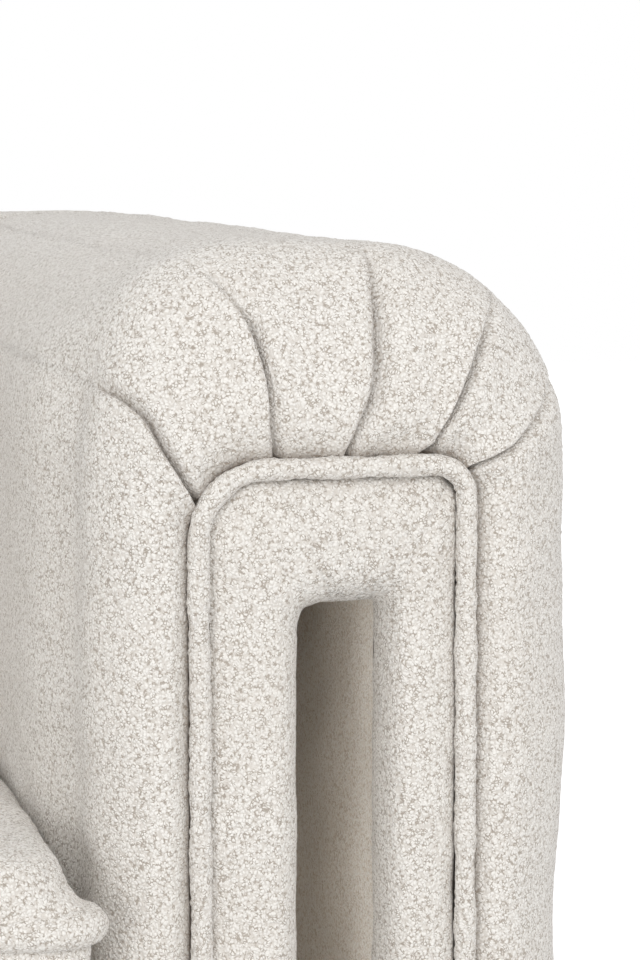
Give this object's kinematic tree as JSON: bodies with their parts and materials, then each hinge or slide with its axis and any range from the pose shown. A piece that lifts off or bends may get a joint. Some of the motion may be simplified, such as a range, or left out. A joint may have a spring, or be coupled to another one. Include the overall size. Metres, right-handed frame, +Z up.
{
  "type": "tuxedo sofa",
  "caption": "Low tuxedo sofa with arms as high as its back, plump looped-pile covers, pleated rolled arm fronts, welted padded panels round upright slots, and loose seat cushions.",
  "frame": {"origin": "on the floor, at the middle of the sofa's footprint", "axes": "+X to the right of someone who looks at the front, -Y to the front, +Y to the rear, +Z up"},
  "size_m": [2.28, 0.92, 0.75],
  "materials": {
    "boucle": "looped wool-like pile, matte",
    "foam": "matte",
    "plywood": "matte",
    "hardwood": "matte",
    "hardboard": "matte",
    "foot_wood": "satin",
    "spring_steel": "satin",
    "zinc": "satin",
    "dust_cloth": "matte",
    "webbing": "matte",
    "glide_plastic": "matte"
  },
  "bodies": {
    "sofa_frame": {"left_arm_front_board": "plywood", "left_arm_top_board": "plywood", "left_arm_bottom_board": "plywood", "left_arm_rear_board": "plywood", "left_arm_inner_panel": "plywood", "left_arm_outer_panel": "plywood", "left_slot_box": "plywood", "left_slot_lining": "boucle", "left_arm_cover": "boucle", "left_panel_pads": "boucle", "left_panel_welt": "boucle", "left_arm_padding": "foam", "left_side_rail": "hardwood", "front_left_foot": "foot_wood", "rear_left_foot": "foot_wood", "right_arm_front_board": "plywood", "right_arm_top_board": "plywood", "right_arm_bottom_board": "plywood", "right_arm_rear_board": "plywood", "right_arm_inner_panel": "plywood", "right_arm_outer_panel": "plywood", "right_slot_box": "plywood", "right_slot_lining": "boucle", "right_arm_cover": "boucle", "right_panel_pads": "boucle", "right_panel_welt": "boucle", "right_arm_padding": "foam", "right_side_rail": "hardwood", "front_right_foot": "foot_wood", "rear_right_foot": "foot_wood", "front_rail": "hardwood", "back_rail": "hardwood", "centre_rail": "hardwood", "corner_blocks": "hardwood", "front_centre_foot": "foot_wood", "rear_centre_foot": "foot_wood", "seat_springs": "spring_steel", "spring_clips": "zinc", "foot_bolts": "zinc", "arm_bolts": "zinc", "arm_bolt_nuts": "zinc", "deck_padding": "foam", "front_border_padding": "foam", "back_padding": "foam", "seat_deck_cover": "boucle", "back_cover": "boucle", "dust_cover": "dust_cloth", "back_webbing": "webbing", "back_top_board": "plywood", "back_bottom_board": "plywood", "back_ribs": "plywood", "back_panel": "hardboard", "foot_glides": "glide_plastic"},
    "left_seat_cushion": {"left_cushion_cover": "boucle", "left_cushion_core": "foam", "left_cushion_welts": "boucle"},
    "right_seat_cushion": {"right_cushion_cover": "boucle", "right_cushion_core": "foam", "right_cushion_welts": "boucle"}
  },
  "joints": [
    {"name": "left_cushion_lift", "type": "slide", "parent": "sofa_frame", "child": "left_seat_cushion", "axis": [0, 0, 1], "range_m": [0, 0.3]},
    {"name": "right_cushion_lift", "type": "slide", "parent": "sofa_frame", "child": "right_seat_cushion", "axis": [0, 0, 1], "range_m": [0, 0.3]}
  ]
}
